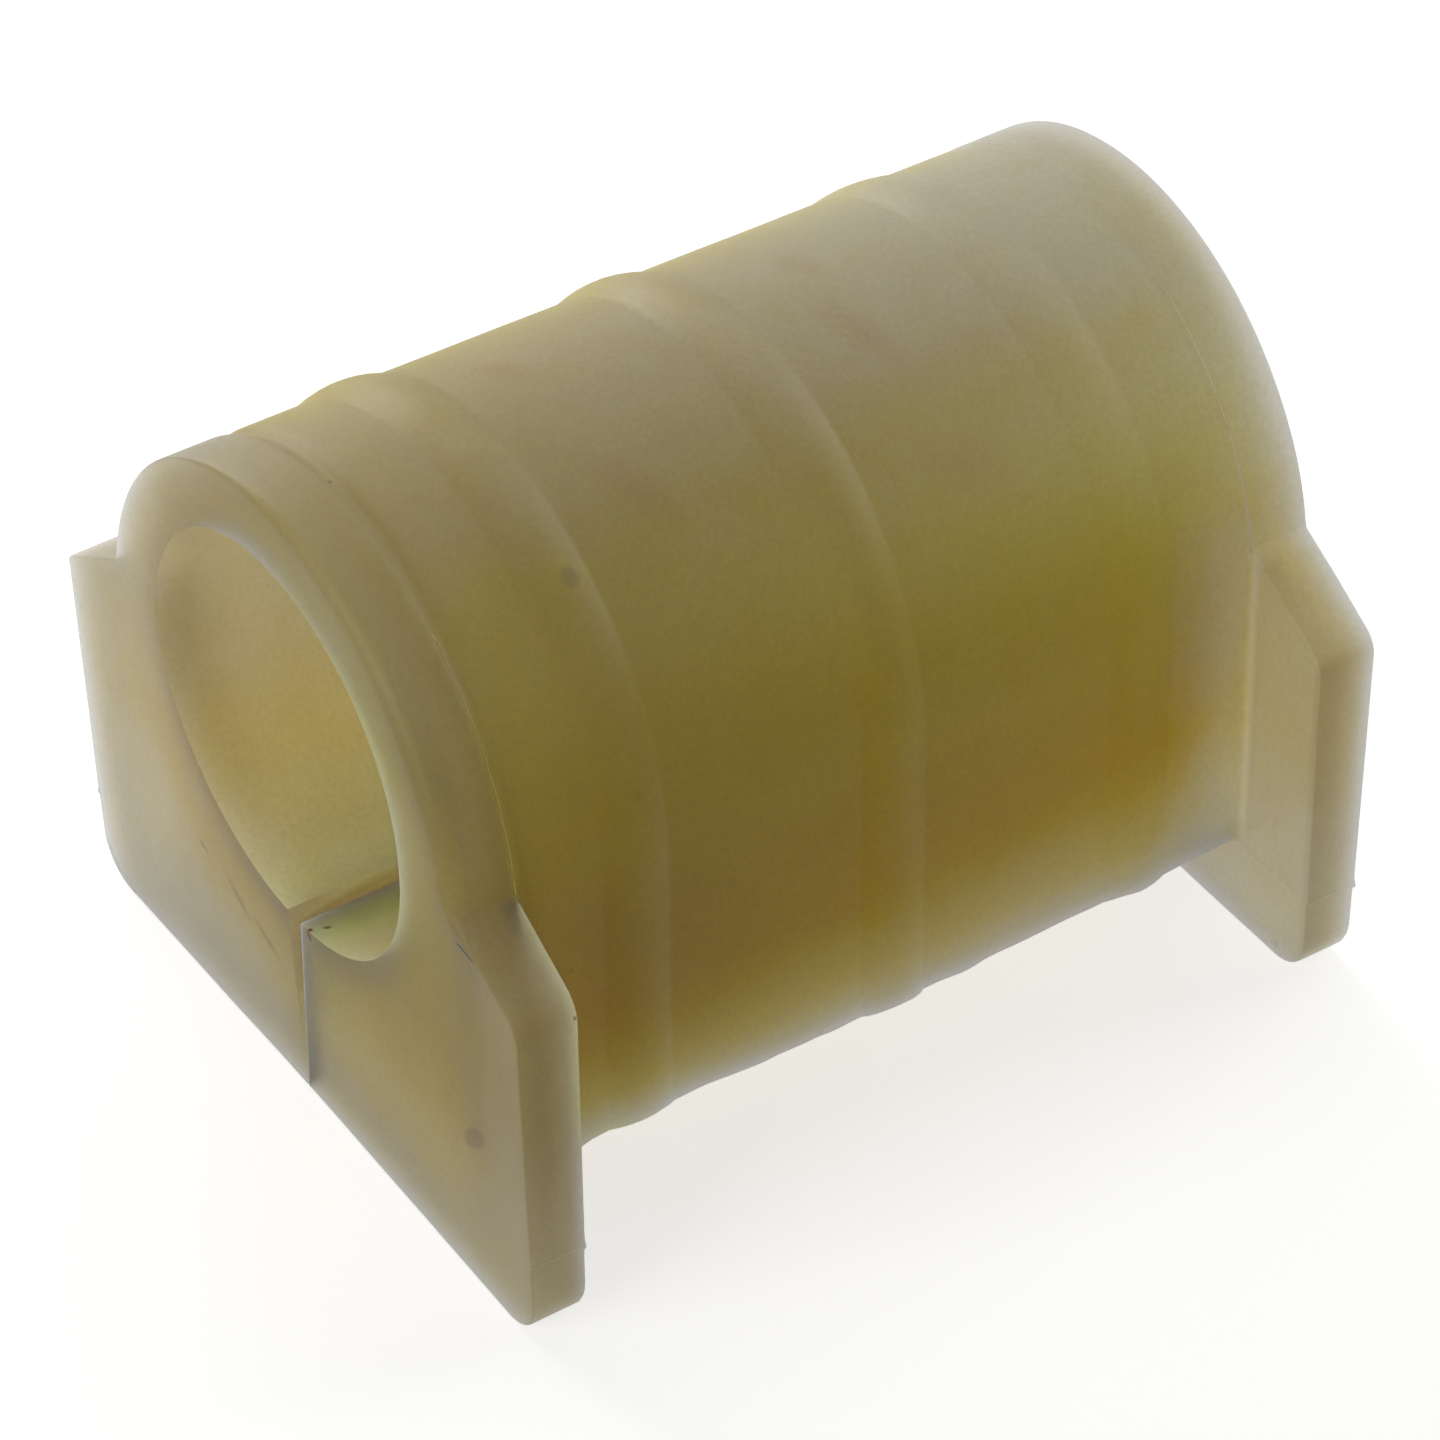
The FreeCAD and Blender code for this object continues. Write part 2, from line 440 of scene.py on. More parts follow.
def end_rows(end, bore, barrel, swell):
    """Rows of one end, from the bore's mouth over its face and flange to the barrel."""
    flange = whole_outline(lambda side: flange_stretches(end, side))
    along = np.array([0.0, float(end), 0.0])
    bore_way = outward(bore)
    flange_way = outward(flange)
    mouth = in_space(bore, end * (HALF_LENGTH - lean(bore, end)))
    rim = in_space(flange, end * (HALF_LENGTH - lean(flange, end)))
    inner = in_space(flange, end * FLANGE_INNER)
    at_root = barrel_rise(np.array(end * FLANGE_INNER))
    root = in_space(barrel, end * FLANGE_INNER) + swell * at_root
    # the low step from a collar to the barrel is soft, the high one behind a plate is crisp
    step = np.linalg.norm(inner - root, axis=1)
    soft = 1.0 - eased(step, 0.7, 1.6)
    inner_reach = INNER_EDGE + (COLLAR_STEP_REACH - INNER_EDGE) * soft
    root_reach = ROOT_EDGE + (COLLAR_STEP_REACH - ROOT_EDGE) * soft
    edge = end_edge(flange, end)
    mouth_rows = corner_rows(mouth, along, bore_way, MOUTH_EDGE, MOUTH_EDGE, MOUTH_ROWS)
    rim_rows = corner_rows(rim, flange_way, -along, edge, edge, EDGE_ROWS)
    inner_rows = corner_rows(inner, -along, -flange_way, inner_reach,
                             np.minimum(INNER_EDGE, 0.45 * step), INNER_ROWS)
    root_rows = corner_rows(root, -swell, -along, np.minimum(ROOT_EDGE, 0.45 * step),
                            root_reach, ROOT_ROWS)
    return np.concatenate([
        mouth_rows,
        rows_between(mouth_rows[-1], rim_rows[0], FACE_ROWS),
        rim_rows,
        rows_between(rim_rows[-1], inner_rows[0], RIM_ROWS),
        inner_rows,
        rows_between(inner_rows[-1], root_rows[0], STEP_ROWS),
        root_rows,
    ])


def casting_grid():
    """The whole skin as a grid of points: rows round the wall, columns round the D.

    Each row follows one line of the wall's section all the way from the slit's right
    wall to its left wall. The rows go out over the near end face, along the flange,
    down its inner face, along the barrel, out and over the far flange and back
    through the bore, so the last row meets the first.
    """
    bore = whole_outline(bore_stretches)
    barrel = whole_outline(barrel_stretches)
    on_underside = barrel[:, 1] < UNDERSIDE + UNDERSIDE_EDGE
    sideways = in_space(barrel * (1.0 / BARREL_RADIUS, 0.0), 0.0)
    swell = np.where(on_underside[:, None], sideways, outward(barrel))
    near = end_rows(NEAR, bore, barrel, swell)
    far = end_rows(FAR, bore, barrel, swell)[::-1]
    places = barrel_places()
    middle = np.stack([in_space(barrel, y) + swell * barrel_rise(y) for y in places])
    inside = rows_between(far[-1], near[0], BORE_ROWS)
    return np.concatenate([near, middle, far, inside])


def grid_normals(grid):
    """Unit normals of the skin: across its rows, which close on themselves, by its columns."""
    round_the_d = np.gradient(grid, axis=1)
    round_the_wall = np.roll(grid, -1, axis=0) - np.roll(grid, 1, axis=0)
    normal = np.cross(round_the_wall, round_the_d)
    return normal / np.linalg.norm(normal, axis=2)[..., None]


def cast_unevenness(grid):
    """Moves the skin in by a tenth of a millimetre at most, unevenly, as cast faces are."""
    height = WAVE_HEIGHT * (waves(grid, WAVE_LENGTH, 5) - 1.0)
    return grid + grid_normals(grid) * height[..., None]


def mould_marks(grid):
    """Adds what the casting and its trimming left: flash, the parting ridge and its nubs."""
    grid = grid.copy()
    x, y, z = grid[..., 0], grid[..., 1], grid[..., 2]
    right = x > 0.0
    from_bore = np.hypot(x - BORE_SHIFT, z - BORE_HEIGHT) - BORE_RADIUS
    on_barrel = (np.abs(y) < FLANGE_INNER - ROOT_EDGE) & (from_bore > 2.0)

    # trimmed flash along both lower edges of the barrel: the flash stands in tatters, and
    # the trim grows from 14 to 26 mm out from the middle of the underside
    from_edge = np.hypot(np.abs(x) - BARREL_RADIUS, z - UNDERSIDE)
    flash = np.where(right, ragged(y, 3.1, 11), ragged(y, 4.3, 12))
    flash = np.clip(flash * 1.6 - 0.5, 0.0, 1.0) * np.exp(-(from_edge / FLASH_REACH) ** 2)
    trim_places, trim_heights = np.array(TRIM_LINE).T
    trim = np.where(right, np.interp(y, trim_places, trim_heights), TRIM_HEIGHT_LEFT)
    trim = trim + TRIM_LIFT * (np.where(right, ragged(y, 6.5, 21), ragged(y, 8.0, 22)) - 0.5)
    towards_edge = np.clip((np.abs(x) - 14.0) / 12.0, 0.0, 1.0)
    trim = trim * towards_edge * np.exp(-np.maximum(z - UNDERSIDE, 0.0) / TRIM_REACH)
    x += np.where(on_barrel, np.sign(x) * FLASH_WIDTH * flash, 0.0)
    z += np.where(on_barrel, trim, 0.0)

    # ridge where the mould's floor plate met it, round the inner faces and sides
    on_flange = (np.abs(y) >= FLANGE_INNER - ROOT_EDGE) & (np.abs(x) > BARREL_RADIUS + 0.4)
    ridge = PARTING_RIDGE * np.exp(-((z - UNDERSIDE) / RIDGE_REACH) ** 2) * on_flange
    on_side = on_flange & (np.abs(x) > FLANGE_HALF_WIDTH - 1.2)
    inner_face = on_flange & ~on_side & (np.abs(y) < FLANGE_INNER + INNER_EDGE)
    y -= np.where(inner_face, np.sign(y) * ridge, 0.0)
    below = np.clip((UNDERSIDE - z) / 0.4, 0.0, 1.0)
    x += np.where(on_side, np.sign(x) * (ridge - PARTING_STEP * below), 0.0)

    # small nubs of flash left where the ridge turns a corner
    for nub_x, nub_y in NUBS:
        away = np.sqrt((x - nub_x) ** 2 + (y - nub_y) ** 2 + (z - UNDERSIDE) ** 2)
        push = NUB_SIZE * np.exp(-(away / NUB_SIZE) ** 2)
        x += math.copysign(1.0, nub_x) * push
        z -= 0.6 * push
    return grid


def kept_in_box(grid):
    """Holds every point just inside the box of the CAD node."""
    margin = 0.005
    low = np.array(node_low) / MM + margin * np.array([1.0, 1.0, 0.0])
    high = np.array(node_high) / MM - margin
    return np.clip(grid, low, high)


def make_casting():
    """The one piece: the grid closed round its rows, with a wall on each side of the slit."""
    grid = kept_in_box(mould_marks(cast_unevenness(casting_grid())))
    rows, columns = grid.shape[:2]
    number = np.arange(rows * columns).reshape(rows, columns)
    following = np.roll(number, -1, axis=0)
    quads = np.stack([number[:, :-1], following[:, :-1], following[:, 1:], number[:, 1:]], -1)
    faces = quads.reshape(-1, 4).tolist()
    faces.append(number[::-1, 0].tolist())
    faces.append(number[:, -1].tolist())
    mesh = bpy.data.meshes.new("cast_bushing")
    mesh.from_pydata((grid.reshape(-1, 3) * MM).tolist(), [], faces)
    mesh.polygons.foreach_set("use_smooth", np.ones(len(faces), bool))
    mark_slit_edges(mesh, number)
    mesh.update()
    add_tone_and_painted_light(mesh, grid)
    piece = bpy.data.objects.new("cast_bushing", mesh)
    bpy.context.collection.objects.link(piece)
    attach(piece, "root")
    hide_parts("bushing")
    return piece


def mark_slit_edges(mesh, number):
    """Keeps the corners between the slit's walls and the rest of the skin crisp."""
    on_wall = np.zeros(number.size, bool)
    on_wall[number[:, 0]] = True
    on_wall[number[:, -1]] = True
    ends = np.empty(len(mesh.edges) * 2, int)
    mesh.edges.foreach_get("vertices", ends)
    sharp = on_wall[ends].reshape(-1, 2).all(1)
    crisp = mesh.attributes.new("sharp_edge", "BOOLEAN", "EDGE")
    crisp.data.foreach_set("value", sharp)


# How far each share below turns the clear amber milky. Most of these weights paint light:
# thin walls, the barrel's top and low part, the bore, the left flange and the flanges
# towards the feet are turned milky for light that comes through them and onto them from
# behind, above, the left and below, and the barrel's sides are kept deep amber as if in
# shade. Others make the far end milkier.
MILKY_AND_PAINTED_LIGHT = {
    "everywhere": 0.12, "thin": 0.40, "thin_flange": -0.10, "far": 0.27,
    "side": -0.48, "top": 0.31, "far_root": 0.74, "far_root_side": 0.34,
    "low_barrel": 0.83, "low_far_barrel": -0.28, "low_edge": -0.28,
    "bore": 0.96, "low_bore": -0.14, "right_lip": -0.28, "left_lip": -0.04,
    "flange": 0.11, "by_mouth": -0.08, "left_of_mouth": -0.14, "left_flange": 0.54,
    "low_flange": 0.25, "right_leg": 0.07, "near_rim": -0.06,
    "far_flange": -0.17, "far_collar": 0.14,
}
# How far each share below lightens the elastomer or deepens it. These weights paint light and
# shade: the right side, the near collar's right half, the near flange's right rim and leg and the
# flanges' sides are darkened as if in shade, and the floor of the bore, the slit's lips and the
# feet are lightened as if lit. Others lighten the far end and its shoulder and darken the barrel's
# low edge.
PAINTED_LIGHT_AND_SHADE = {
    "everywhere": 0.33, "thin": -0.45, "far": 0.23, "right": -0.08, "far_shoulder": 0.20,
    "top": -0.04, "near_band": 0.10, "far_root": -0.06, "far_root_side": -0.15,
    "low_edge": -0.32,
    "bore": -0.25, "low_bore": 0.62, "right_bore": 0.08, "right_lip": 0.50,
    "left_lip": 0.25, "near_bore": -0.17,
    "flange": -0.15, "by_mouth": -0.16, "left_of_mouth": 0.06, "right_side": -0.08,
    "right_leg": -0.12, "near_collar": -0.40, "near_rim": -0.48, "near_foot": 0.12,
    "far_flange": -0.03, "far_collar": 0.05, "far_side": -0.24, "far_foot": 0.12,
}

# The light from thinness() at which a wall counts as thick, and as thin
THICK_WALL = 0.10
THIN_WALL = 0.35

# The slit's walls: how milky they are, and how light at the end faces and 10 mm in, where the
# greater lightness further in is painted light over the slit's shade
WALL_MILKINESS = 0.72
WALL_PAINTED_LIGHT = (0.8, 2.3)


def bore_share(rows):
    """1 for the rows inside the bore, falling to 0 over the rounding of each mouth."""
    share = np.zeros(rows)
    fade = np.linspace(1.0, 0.0, MOUTH_ROWS)
    share[:MOUTH_ROWS] = fade
    share[-BORE_ROWS - MOUTH_ROWS:-BORE_ROWS] = fade[::-1]
    share[-BORE_ROWS:] = 1.0
    return share


def barrel_shares(barrel, y, z):
    """Shares of the barrel: its top, side and low part, and those parts towards each end."""
    low = barrel * eased(z, 31.0, 19.0)
    return {
        "top": barrel * eased(z, 69.0, 75.0),
        "side": barrel * eased(z, 70.0, 48.0),
        "low_barrel": low,
        "low_edge": barrel * eased(z, 15.0, 11.0),
        "near_band": barrel * eased(-y, 30.0, 38.0) * eased(z, 75.0, 71.0),
        "low_far_barrel": low * eased(y, 15.0, 38.0),
        "far_root": barrel * eased(y, 28.0, FLANGE_INNER) * eased(z, 62.0, 48.0),
        "far_root_side": barrel * eased(y, 22.0, 37.0) * bump_over(z, 20.0, 37.0, 56.0),
    }


def bore_shares(bore, x, y, z):
    """Shares of the bore: its floor, both lips of the slit, and the left wall by the near mouth."""
    by_slit = bore * eased(z, 38.0, 28.0)
    return {
        "bore": bore,
        "low_bore": bore * eased(z, BORE_HEIGHT, BORE_HEIGHT - BORE_RADIUS),
        "right_bore": bore * eased(x, -4.0, 3.0) * eased(z, 38.0, 26.0),
        "right_lip": by_slit * eased(x, -2.0, 0.0) * eased(x, 9.0, 2.0),
        "left_lip": by_slit * (x < -1.0) * eased(x, -10.0, -3.0),
        "near_bore": bore * eased(x, -8.0, -16.0) * eased(-y, 41.0, 47.0),
    }


def flange_shares(flange, plate, x, y, z):
    """Shares of the flanges, where plate is 1 outside the round of the barrel."""
    from_bore = np.hypot(x - BORE_SHIFT, z - BORE_HEIGHT) - BORE_RADIUS
    side = eased(x, FLANGE_HALF_WIDTH - 1.0, FLANGE_HALF_WIDTH - 0.2)
    near = flange * (y < 0.0)
    far = flange * (y > 0.0)
    return {
        "flange": flange,
        "by_mouth": flange * eased(from_bore, 5.0, 0.5) * eased(x, -8.0, 8.0),
        "left_of_mouth": flange * eased(from_bore, 4.0, 0.3) * eased(x, -4.0, -16.0),
        "left_flange": flange * eased(x, 10.0, -35.0),
        "low_flange": flange * eased(z, 34.0, 12.0),
        "right_side": flange * side,
        "right_leg": near * eased(x, 5.0, 20.0) * eased(z, 66.0, 46.0),
        "near_collar": near * (x > 0.0) * eased(-y, 45.0, 49.0) * bump_over(z, 50.0, 61.0, 72.0),
        "near_rim": near * plate * (x > 20.0) * eased(-y, FLANGE_INNER + 3.0, FLANGE_INNER),
        "near_foot": near * eased(x, 5.0, 30.0) * eased(z, 30.0, 8.0),
        "far_flange": flange * y / HALF_LENGTH,
        "far_collar": flange * (1.0 - plate) * eased(y, 0.0, 40.0),
        "far_side": far * side,
        "far_foot": far * (1.0 - side) * eased(z, 12.0, 2.0),
    }


def smoothed_normals(grid):
    """Unit normals of the skin, which pass over the collars' small steps.

    On a step they point straight out from the barrel's axis, so that it doesn't show
    as a line of colour.
    """
    x, y, z = grid.reshape(-1, 3).T
    over_axis = np.maximum(z - BARREL_AXIS, 0.0)
    from_middle = np.hypot(x, over_axis)
    radial = np.stack([x, np.zeros(len(x)), over_axis], 1)
    radial /= np.maximum(from_middle, 1.0)[:, None]
    by_flange = np.abs(np.abs(y) - FLANGE_INNER) < 2.0
    on_collar = (from_middle > BARREL_RADIUS - 1.5) & (from_middle < BARREL_RADIUS + 1.0)
    on_step = by_flange & on_collar
    normals = grid_normals(grid).reshape(-1, 3)
    normals[on_step] = radial[on_step]
    return normals


def painted_light_shares(grid):
    """Every share of the skin, by name, over which light and shade are painted: the light that
    comes through, and place and form.
    """
    points = grid.reshape(-1, 3)
    x, y, z = points.T
    light = thinness(points, smoothed_normals(grid))
    thin = np.clip((light - THICK_WALL) / (THIN_WALL - THICK_WALL), 0.0, 1.0)
    bore = np.repeat(bore_share(len(grid)), grid.shape[1])
    # the collars blend into the barrel, and the plates stand out from it at once
    from_middle = np.hypot(x, np.maximum(z - BARREL_AXIS, 0.0))
    plate = eased(from_middle, BARREL_RADIUS + 0.2, BARREL_RADIUS + 0.8)
    over_collar = eased(np.abs(y), FLANGE_INNER - 5.0, FLANGE_INNER + 3.0)
    over_plate = eased(np.abs(y), FLANGE_INNER - 0.8, FLANGE_INNER + 0.2)
    flange = (over_collar + (over_plate - over_collar) * plate) * (1.0 - bore)
    barrel = (1.0 - flange) * (1.0 - bore)
    farther = 1.0 + y / HALF_LENGTH
    return {
        "everywhere": np.ones(len(points)),
        "thin": thin * (1.0 - bore),
        "thin_flange": thin * flange,
        "far": y / HALF_LENGTH,
        "right": x / FLANGE_HALF_WIDTH * (1.0 - bore),
        "far_shoulder": (1.0 - plate) * farther * bump_over(z, 46.0, 64.0, 76.0),
        **barrel_shares(barrel, y, z),
        **bore_shares(bore, x, y, z),
        **flange_shares(flange, plate, x, y, z),
    }


def weighed(shares, amounts):
    """The sum of the shares, each times its amount."""
    return sum(amount * shares[name] for name, amount in amounts.items())


def s_curve(value):
    """A half at 0.5, rising from 0.12 at 0 to 0.88 at 1."""
    return 1.0 / (1.0 + np.exp(2.0 - 4.0 * value))


def add_tone_and_painted_light(mesh, grid):
    """Stores how milky, from 0 to 1, and how light the elastomer is at each face's corners.

    Both are weighed sums of the same shares, and both paint light and shade into the
    elastomer's colour. An S curve turns the first sum into the milkiness, and e to the second
    is the lightness. The slit's walls, which are the mesh's last two faces, have a tone of
    their own, with painted light further in.
    """
    shares = painted_light_shares(grid)
    milkiness_and_painted_light = s_curve(weighed(shares, MILKY_AND_PAINTED_LIGHT))
    painted_light_and_shade = np.exp(weighed(shares, PAINTED_LIGHT_AND_SHADE))
    corners = np.empty(len(mesh.loops), int)
    mesh.loops.foreach_get("vertex_index", corners)
    on_wall = np.arange(len(corners)) >= len(corners) - 2 * len(grid)
    along = np.abs(grid[..., 1].ravel()[corners])
    # the slit's walls are painted lighter further in, over the shade deep in the slit
    inward = eased(along, HALF_LENGTH - 1.0, HALF_LENGTH - 10.0)
    at_face, further_in = WALL_PAINTED_LIGHT
    wall_light = at_face + (further_in - at_face) * inward
    for name, values, wall in (("milkiness_and_painted_light", milkiness_and_painted_light, WALL_MILKINESS),
                               ("painted_light_and_shade", painted_light_and_shade, wall_light)):
        layer = mesh.attributes.new(name, "FLOAT", "CORNER")
        layer.data.foreach_set("value", np.where(on_wall, wall, values[corners]))


def colour(hex_code):
    """An sRGB hex code as linear red, green, blue and alpha."""
    parts = [int(hex_code[i:i + 2], 16) / 255.0 for i in (1, 3, 5)]
    linear = [c / 12.92 if c <= 0.04045 else ((c + 0.055) / 1.055) ** 2.4 for c in parts]
    return (*linear, 1.0)


def node(tree, kind, settings=None, **inputs):
    """Adds a shader node. An input is a value, or the output socket that feeds it."""
    made = tree.nodes.new(kind)
    for name, value in (settings or {}).items():
        setattr(made, name, value)
    for name, value in inputs.items():
        key = int(name[1:]) if name[0] == "i" and name[1:].isdigit() else name.replace("_", " ")
        socket = made.inputs[key]
        if isinstance(value, bpy.types.NodeSocket):
            tree.links.new(value, socket)
        else:
            socket.default_value = value
    return made


def new_material(name):
    """A material with no nodes yet, and its node tree."""
    material = bpy.data.materials.new(name)
    material.use_nodes = True
    material.node_tree.nodes.clear()
    return material, material.node_tree


# How far light goes in the elastomer, in millimetres, and its share for each colour
LIGHT_DEPTH = 80.0
DEPTH_SHARES = (1.0, 0.87, 0.64)

# The elastomer's colour from clear, at 0, to milky, at 1, along which painted light and shade move
# it as well
MILKINESS_STOPS = ((0.0, "#a68c08"), (0.233, "#a99428"), (0.567, "#b09b5e"), (0.9, "#b6ab90"),
                   (1.0, "#b5ae9c"))

# The fine grain of the mould's face, in millimetres
GRAIN_SIZE = 0.4545
GRAIN_DEPTH = 0.2

# Clouds of milkiness from the pour, and fine dust in the elastomer: their size in
# millimetres and how far they change its colour
CLOUD_SIZE = 9.0
CLOUD_STRENGTH = 0.07
DUST_SIZE = 0.6
DUST_STRENGTH = 0.08

# Marks in the casting, and painted shade along one rounded edge: where each one starts and
# ends, its half width and its softness from 0 to 1, its colour, and how much of that colour shows
MARKS = {
    "settled_spot": ((18.5, -28.3, 70.1), (18.7, -28.3, 70.0), 1.5, 0.7, "#3f3c14", 0.34),
    "trapped_bubble": ((31.2, -49.4, 19.0), (33.8, -49.4, 21.6), 1.4, 0.5, "#4a4030", 0.42),
    "small_bubble": ((30.9, -29.1, 52.3), (30.9, -29.1, 52.2), 0.7, 0.8, "#3f4a10", 0.20),
    "low_bubble": ((31.3, -37.2, 34.8), (31.3, -37.2, 34.7), 0.5, 0.8, "#3f4a10", 0.20),
    "red_speck": ((-0.7, -42.5, 75.1), (-0.5, -42.5, 75.1), 0.35, 0.8, "#5a2c10", 0.55),
    "collar_speck": ((-1.5, -49.4, 75.6), (-1.3, -49.4, 75.6), 0.2, 0.6, "#7a3a1c", 0.5),
    "pin_speck": ((-21.6, -49.7, 55.1), (-21.6, -49.7, 55.2), 0.2, 0.6, "#5c4018", 0.6),
    "black_speck": ((41.7, -43.4, 39.7), (41.7, -43.4, 39.9), 0.25, 0.5, "#1a1006", 0.95),
    "edge_chip": ((1.9, -48.9, 23.9), (2.2, -49.2, 23.0), 0.46, 0.4, "#4a1406", 1.0),
    "bore_chip": ((2.5, -47.7, 24.0), (2.8, -47.2, 24.0), 0.32, 0.5, "#5a200a", 0.9),
    "scratch": ((31.2, -50.0, 45.3), (35.6, -49.8, 44.7), 0.22, 0.5, "#241c08", 1.0),
    "fleck": ((27.3, 31.3, 59.4), (27.1, 32.2, 59.1), 0.2, 0.6, "#54461a", 0.5),
    "hair": ((30.8, 33.0, 17.9), (30.8, 33.8, 18.6), 0.15, 0.6, "#54461a", 0.5),
    "smudge": ((36.8, 43.0, 1.4), (37.3, 43.0, 1.7), 0.7, 0.8, "#4a4430", 0.55),
    "face_scuff": ((-19.7, -49.0, 20.1), (-18.0, -49.0, 19.2), 0.5, 1.0, "#5a5038", 0.5),
    "face_scuff_long": ((-14.6, -49.0, 19.0), (-9.9, -49.0, 15.9), 0.9, 1.0, "#5a5038", 0.45),
    "face_scuff_low": ((-9.9, -49.0, 17.3), (-4.2, -48.9, 14.6), 0.9, 1.0, "#5a5038", 0.45),
    # painted shade along the rounded left edge and heel of the near face
    "painted_heel_shade": ((-41.9, -48.8, 13.0), (-41.8, -48.7, 6.0), 1.0, 0.7, "#2c3a30", 0.8),
    "painted_heel_shade_low": ((-41.6, -48.6, 4.4), (-38.8, -48.5, 0.6), 1.0, 0.7, "#2c3a30", 0.8),
    "heel_speck": ((-36.3, -48.3, 0.5), (-35.9, -48.3, 0.4), 0.25, 0.5, "#1c1c14", 0.9),
    "red_cloud": ((10.0, -19.0, 72.9), (17.0, -15.5, 71.0), 3.5, 1.0, "#a05a18", 0.24),
    "red_cloud_middle": ((3.0, 11.0, 74.6), (11.0, 13.5, 73.0), 3.5, 1.0, "#a05a18", 0.24),
    "red_cloud_top": ((-9.0, -21.0, 74.0), (-4.0, -18.5, 74.8), 2.5, 1.0, "#a05a18", 0.22),
    "red_cloud_side": ((20.0, 12.0, 67.3), (23.0, 18.0, 64.6), 4.0, 1.0, "#a05a18", 0.18),
    "red_cloud_back": ((-7.0, 12.0, 74.0), (-2.0, 14.0, 75.0), 2.5, 1.0, "#a05a18", 0.20),
}


def marked(tree, place, paint):
    """The colour with each mark laid over it.

    A mark is an ellipsoid along the line between its ends. Space is turned and scaled so
    that it becomes a ball of radius 1, and it fades out from there inwards by its softness.
    """
    for start, end, width, softness, shade, strength in MARKS.values():
        start, end = Vector(start), Vector(end)
        turn = (end - start).to_track_quat("X", "Z").to_euler()
        reach = (end - start).length / 2.0 + width
        ball = node(tree, "ShaderNodeMapping", {"vector_type": "TEXTURE"}, Vector=place,
                    Location=(start + end) / 2.0 * MM, Rotation=turn,
                    Scale=(reach * MM, width * MM, width * MM))
        away = node(tree, "ShaderNodeVectorMath", {"operation": "LENGTH"},
                    i0=ball.outputs["Vector"])
        share = node(tree, "ShaderNodeMapRange", {"interpolation_type": "SMOOTHSTEP"},
                     Value=away.outputs["Value"], From_Min=1.0, From_Max=1.0 - softness,
                     To_Min=0.0, To_Max=strength)
        mixed = node(tree, "ShaderNodeMix", {"data_type": "RGBA"},
                     i0=share.outputs["Result"], i6=paint, i7=colour(shade))
        paint = mixed.outputs[2]
    return paint


def cast_polyurethane():
    """Open-cast polyurethane elastomer, satin as it came out of the mould.

    Light goes deep into it, so that it glows amber where it is thick and looks milky
    where it is thin. Its base colour also has light and shade painted in.
    """
    material, tree = new_material("cast_polyurethane")
    place = node(tree, "ShaderNodeTexCoord").outputs["Object"]
    grain = node(tree, "ShaderNodeTexNoise", Vector=place, Scale=1.0 / (GRAIN_SIZE * MM),
                 Detail=1.0, Roughness=0.6)
    bump = node(tree, "ShaderNodeBump", Strength=0.12, Distance=GRAIN_DEPTH * MM,
                Height=grain.outputs["Fac"])
    # Two attributes of the casting: its milkiness and lightness, with light and shade painted into
    # both
    milkiness_and_painted_light = node(tree, "ShaderNodeAttribute", {"attribute_name": "milkiness_and_painted_light"})
    painted_light_and_shade = node(tree, "ShaderNodeAttribute", {"attribute_name": "painted_light_and_shade"})
    clouds = node(tree, "ShaderNodeTexNoise", Vector=place, Scale=1.0 / (CLOUD_SIZE * MM),
                  Detail=2.0, Roughness=0.55, Distortion=0.6)
    cloudy = node(tree, "ShaderNodeMapRange", Value=clouds.outputs["Fac"], From_Min=0.2,
                  From_Max=0.8, To_Min=-CLOUD_STRENGTH, To_Max=CLOUD_STRENGTH)
    milky = node(tree, "ShaderNodeMath", {"operation": "ADD"},
                 i0=milkiness_and_painted_light.outputs["Fac"], i1=cloudy.outputs["Result"])
    ramp = node(tree, "ShaderNodeValToRGB", Fac=milky.outputs["Value"])
    for number, (stop, shade) in enumerate(MILKINESS_STOPS):
        if number < 2:
            element = ramp.color_ramp.elements[number]
            element.position = stop
        else:
            element = ramp.color_ramp.elements.new(stop)
        element.color = colour(shade)
    dust = node(tree, "ShaderNodeTexNoise", Vector=place, Scale=1.0 / (DUST_SIZE * MM),
                Detail=2.0, Roughness=0.7)
    dusty = node(tree, "ShaderNodeMapRange", Value=dust.outputs["Fac"], From_Min=0.2,
                 From_Max=0.8, To_Min=1.0 - DUST_STRENGTH, To_Max=1.0 + DUST_STRENGTH)
    light = node(tree, "ShaderNodeMath", {"operation": "MULTIPLY"},
                 i0=painted_light_and_shade.outputs["Fac"], i1=dusty.outputs["Result"])
    tint = node(tree, "ShaderNodeVectorMath", {"operation": "SCALE"},
                i0=ramp.outputs["Color"], Scale=light.outputs["Value"])
    body = node(tree, "ShaderNodeBsdfPrincipled",
                Base_Color=marked(tree, place, tint.outputs["Vector"]),
                Normal=bump.outputs["Normal"])
    body.inputs["Roughness"].default_value = 0.5
    body.inputs["Specular IOR Level"].default_value = 0.42
    body.inputs["IOR"].default_value = 1.49
    body.inputs["Subsurface Weight"].default_value = 1.0
    body.inputs["Subsurface Radius"].default_value = DEPTH_SHARES
    body.inputs["Subsurface Scale"].default_value = LIGHT_DEPTH * MM
    node(tree, "ShaderNodeOutputMaterial", Surface=body.outputs["BSDF"])
    return material


def looked_at(tree):
    """1 for a ray that looks at the surface, straight, in a gloss or through glass, else 0."""
    path = node(tree, "ShaderNodeLightPath")
    gloss = node(tree, "ShaderNodeMath", {"operation": "MAXIMUM"},
                 i0=path.outputs["Is Camera Ray"], i1=path.outputs["Is Glossy Ray"])
    either = node(tree, "ShaderNodeMath", {"operation": "MAXIMUM"},
                  i0=gloss.outputs["Value"], i1=path.outputs["Is Transmission Ray"])
    return either.outputs["Value"]


